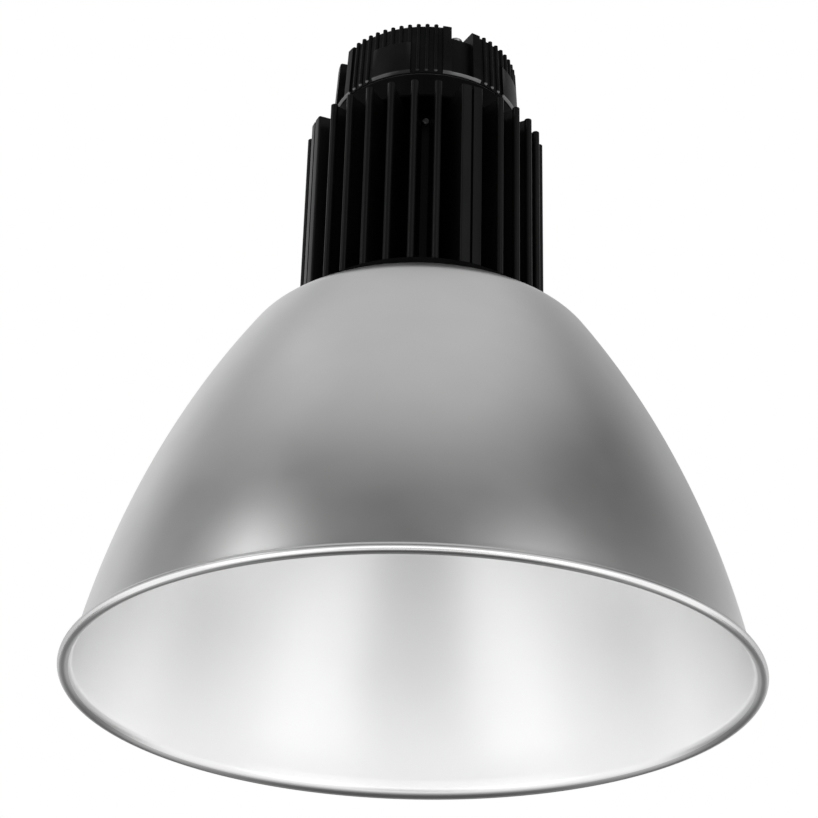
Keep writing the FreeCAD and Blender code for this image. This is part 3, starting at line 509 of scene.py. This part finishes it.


def floor_level(s):
    """What metal sees of the floor: painted light and shade, as levels of its glow."""
    y = s.apart(s.place)[1]
    out = s.polar()[0]
    front = s.spread(y, 1.0, 0.0, *FLOOR_FRONT)
    level = s.maths("MAXIMUM", s.spread(out, *FRONT_FLOOR), s.spread(out, *LIT_FLOOR))
    level = s.maths("SUBTRACT", 1.0, s.maths("MULTIPLY", front, s.maths("SUBTRACT", 1.0, level)))
    level = s.maths("MULTIPLY", level, s.spread(y, *BACK_FLOOR))
    return s.maths("MULTIPLY", level, s.spread(out, *UNDER_LAMP))


def make_floor():
    mesh = bpy.data.meshes.new("floor")
    bm = bmesh.new()
    bmesh.ops.create_circle(bm, cap_ends=True, radius=FLOOR_R, segments=FLOOR_SIDES,
                            matrix=Matrix.Translation((0, 0, FLOOR_Z)))
    bm.to_mesh(mesh)
    bm.free()
    floor = new_object("floor", mesh)
    s = Shader("floor_paper", grey(PAPER), roughness=0.8)
    s.tint(s.noise(3.0), grey(PAPER - PAPER_VARIES), grey(PAPER + PAPER_VARIES))
    camera, mirrored = s.seen_as_background()
    glow = s.node("ShaderNodeEmission")
    glow.inputs["Color"].default_value = WHITE
    s.link(s.maths("MAXIMUM", camera, floor_level(s)), glow.inputs["Strength"])
    mix = s.node("ShaderNodeMixShader")
    s.link(s.maths("MAXIMUM", s.maths("MULTIPLY", camera, FLOOR_GLOW), mirrored), mix.inputs["Fac"])
    s.link(s.bsdf.outputs["BSDF"], mix.inputs[1])
    s.link(glow.outputs[0], mix.inputs[2])
    s.link(mix.outputs[0], s.tree.nodes["Material Output"].inputs["Surface"])
    mesh.materials.append(s.material)


def wall_level(w, x, y, z):
    """What metal sees of the wall and the ceiling. x, y and z say which way it looks."""
    ramp = w.node("ShaderNodeValToRGB")
    w.link(z, ramp.inputs["Fac"])
    for element, (position, level) in zip(ramp.color_ramp.elements, (STUDIO[0], STUDIO[-1])):
        element.position = position
        element.color = (*grey(level), 1)
    for position, level in STUDIO[1:-1]:
        ramp.color_ramp.elements.new(position).color = (*grey(level), 1)
    behind = w.spread(y, 0.0, 1.0, *BACKDROP_START)
    backdrop = w.maths("MULTIPLY", behind, w.spread(z, 1.0, 0.0, *BACKDROP_TOP))
    backdrop = w.maths("MULTIPLY", backdrop, w.spread(x, *BACKDROP_SIDES, *HALVES))
    low = w.maths("MULTIPLY", w.spread(z, 0.0, 1.0, *LOW_BAND_FOOT), w.spread(z, 1.0, 0.0, *LOW_BAND_TOP))
    low = w.maths("MULTIPLY", w.maths("MULTIPLY", low, behind), 1.0 - LOW_BAND)
    front = w.maths("SUBTRACT", 1.0, w.spread(z, *FRONT_WALL))
    front = w.maths("MULTIPLY", front, w.spread(y, 1.0, 0.0, *HALVES))
    level = w.maths("MAXIMUM", ramp.outputs["Color"], backdrop)
    level = w.maths("MULTIPLY", level, w.maths("SUBTRACT", 1.0, front))
    return w.maths("MULTIPLY", level, w.maths("SUBTRACT", 1.0, low))


def make_world():
    world = bpy.data.worlds.new("studio")
    scene.world = world
    world.use_nodes = True
    world.node_tree.nodes.clear()
    w = Tree(world.node_tree)
    way = w.node("ShaderNodeTexCoord").outputs["Generated"]
    camera, mirrored = w.seen_as_background()
    level = w.maths("MULTIPLY", wall_level(w, *w.apart(way)), mirrored)
    plain = w.maths("MULTIPLY", w.maths("SUBTRACT", 1.0, mirrored), AMBIENT)
    level = w.maths("MAXIMUM", camera, w.maths("ADD", level, plain))
    background = w.node("ShaderNodeBackground")
    background.inputs["Color"].default_value = WHITE
    w.link(level, background.inputs["Strength"])
    w.link(background.outputs[0], w.node("ShaderNodeOutputWorld").inputs[0])


# ---- Light and camera ----------------------------------------------------------------------

# Azimuth (0 in front of the lamp, 90 on its +X side) and elevation in degrees, distance, width and
# height in metres, and power in watts.
SOFTBOXES = {
    "left_softbox": (-57, 31, 2.2, 0.6, 0.6, 3.2),
    "right_softbox": (38, 31, 2.2, 0.9, 0.5, 2.1),
    "left_fill": (-88, 54, 2.4, 1.2, 1.0, 1.2),
    "left_front_panel": (-43, -24, 2.2, 1.4, 1.1, 2.4),
    "right_front_panel": (41, -24, 2.2, 1.4, 1.1, 2.4),
    "low_front_panel": (2, -9, 2.2, 2.0, 0.6, 1.1),
}
LIGHT_AIM = Vector((0.0, 0.0, 0.2))

CAMERA_PLACE = (-0.00632, -1.19370, -0.43544)
CAMERA_TILT = radians(27.7207)
CAMERA_ROLL = radians(1.503)
CAMERA_LENS = 93.10               # mm
CAMERA_SENSOR = 36.0              # mm


def softbox(name, azimuth, elevation, distance, width, height, power):
    """A soft area light, turned towards the lamp."""
    a, e = radians(azimuth), radians(elevation)
    way = Vector((sin(a) * cos(e), -cos(a) * cos(e), sin(e)))
    data = bpy.data.lights.new(name, "AREA")
    data.shape = "RECTANGLE"
    data.size = width
    data.size_y = height
    data.energy = power
    light = bpy.data.objects.new(name, data)
    light.location = LIGHT_AIM + distance * way
    light.rotation_euler = (-way).to_track_quat("-Z", "Y").to_euler()
    scene.collection.objects.link(light)


def make_camera():
    """Below the rim, in front, looking up: the lamp hangs above the eye."""
    forward = Vector((0, cos(CAMERA_TILT), sin(CAMERA_TILT)))
    level_up = Vector((0, -sin(CAMERA_TILT), cos(CAMERA_TILT)))
    level_right = Vector((1, 0, 0))
    right = cos(CAMERA_ROLL) * level_right + sin(CAMERA_ROLL) * level_up
    up = -sin(CAMERA_ROLL) * level_right + cos(CAMERA_ROLL) * level_up
    data = bpy.data.cameras.new("camera")
    data.lens = CAMERA_LENS
    data.sensor_width = CAMERA_SENSOR
    camera = bpy.data.objects.new("camera", data)
    turn = Matrix((right, up, -forward)).transposed()
    camera.matrix_world = Matrix.Translation(CAMERA_PLACE) @ turn.to_4x4()
    scene.collection.objects.link(camera)
    scene.camera = camera


make_floor()
make_world()
for name, settings in SOFTBOXES.items():
    softbox(name, *settings)
make_camera()
scene.view_settings.view_transform = "Standard"
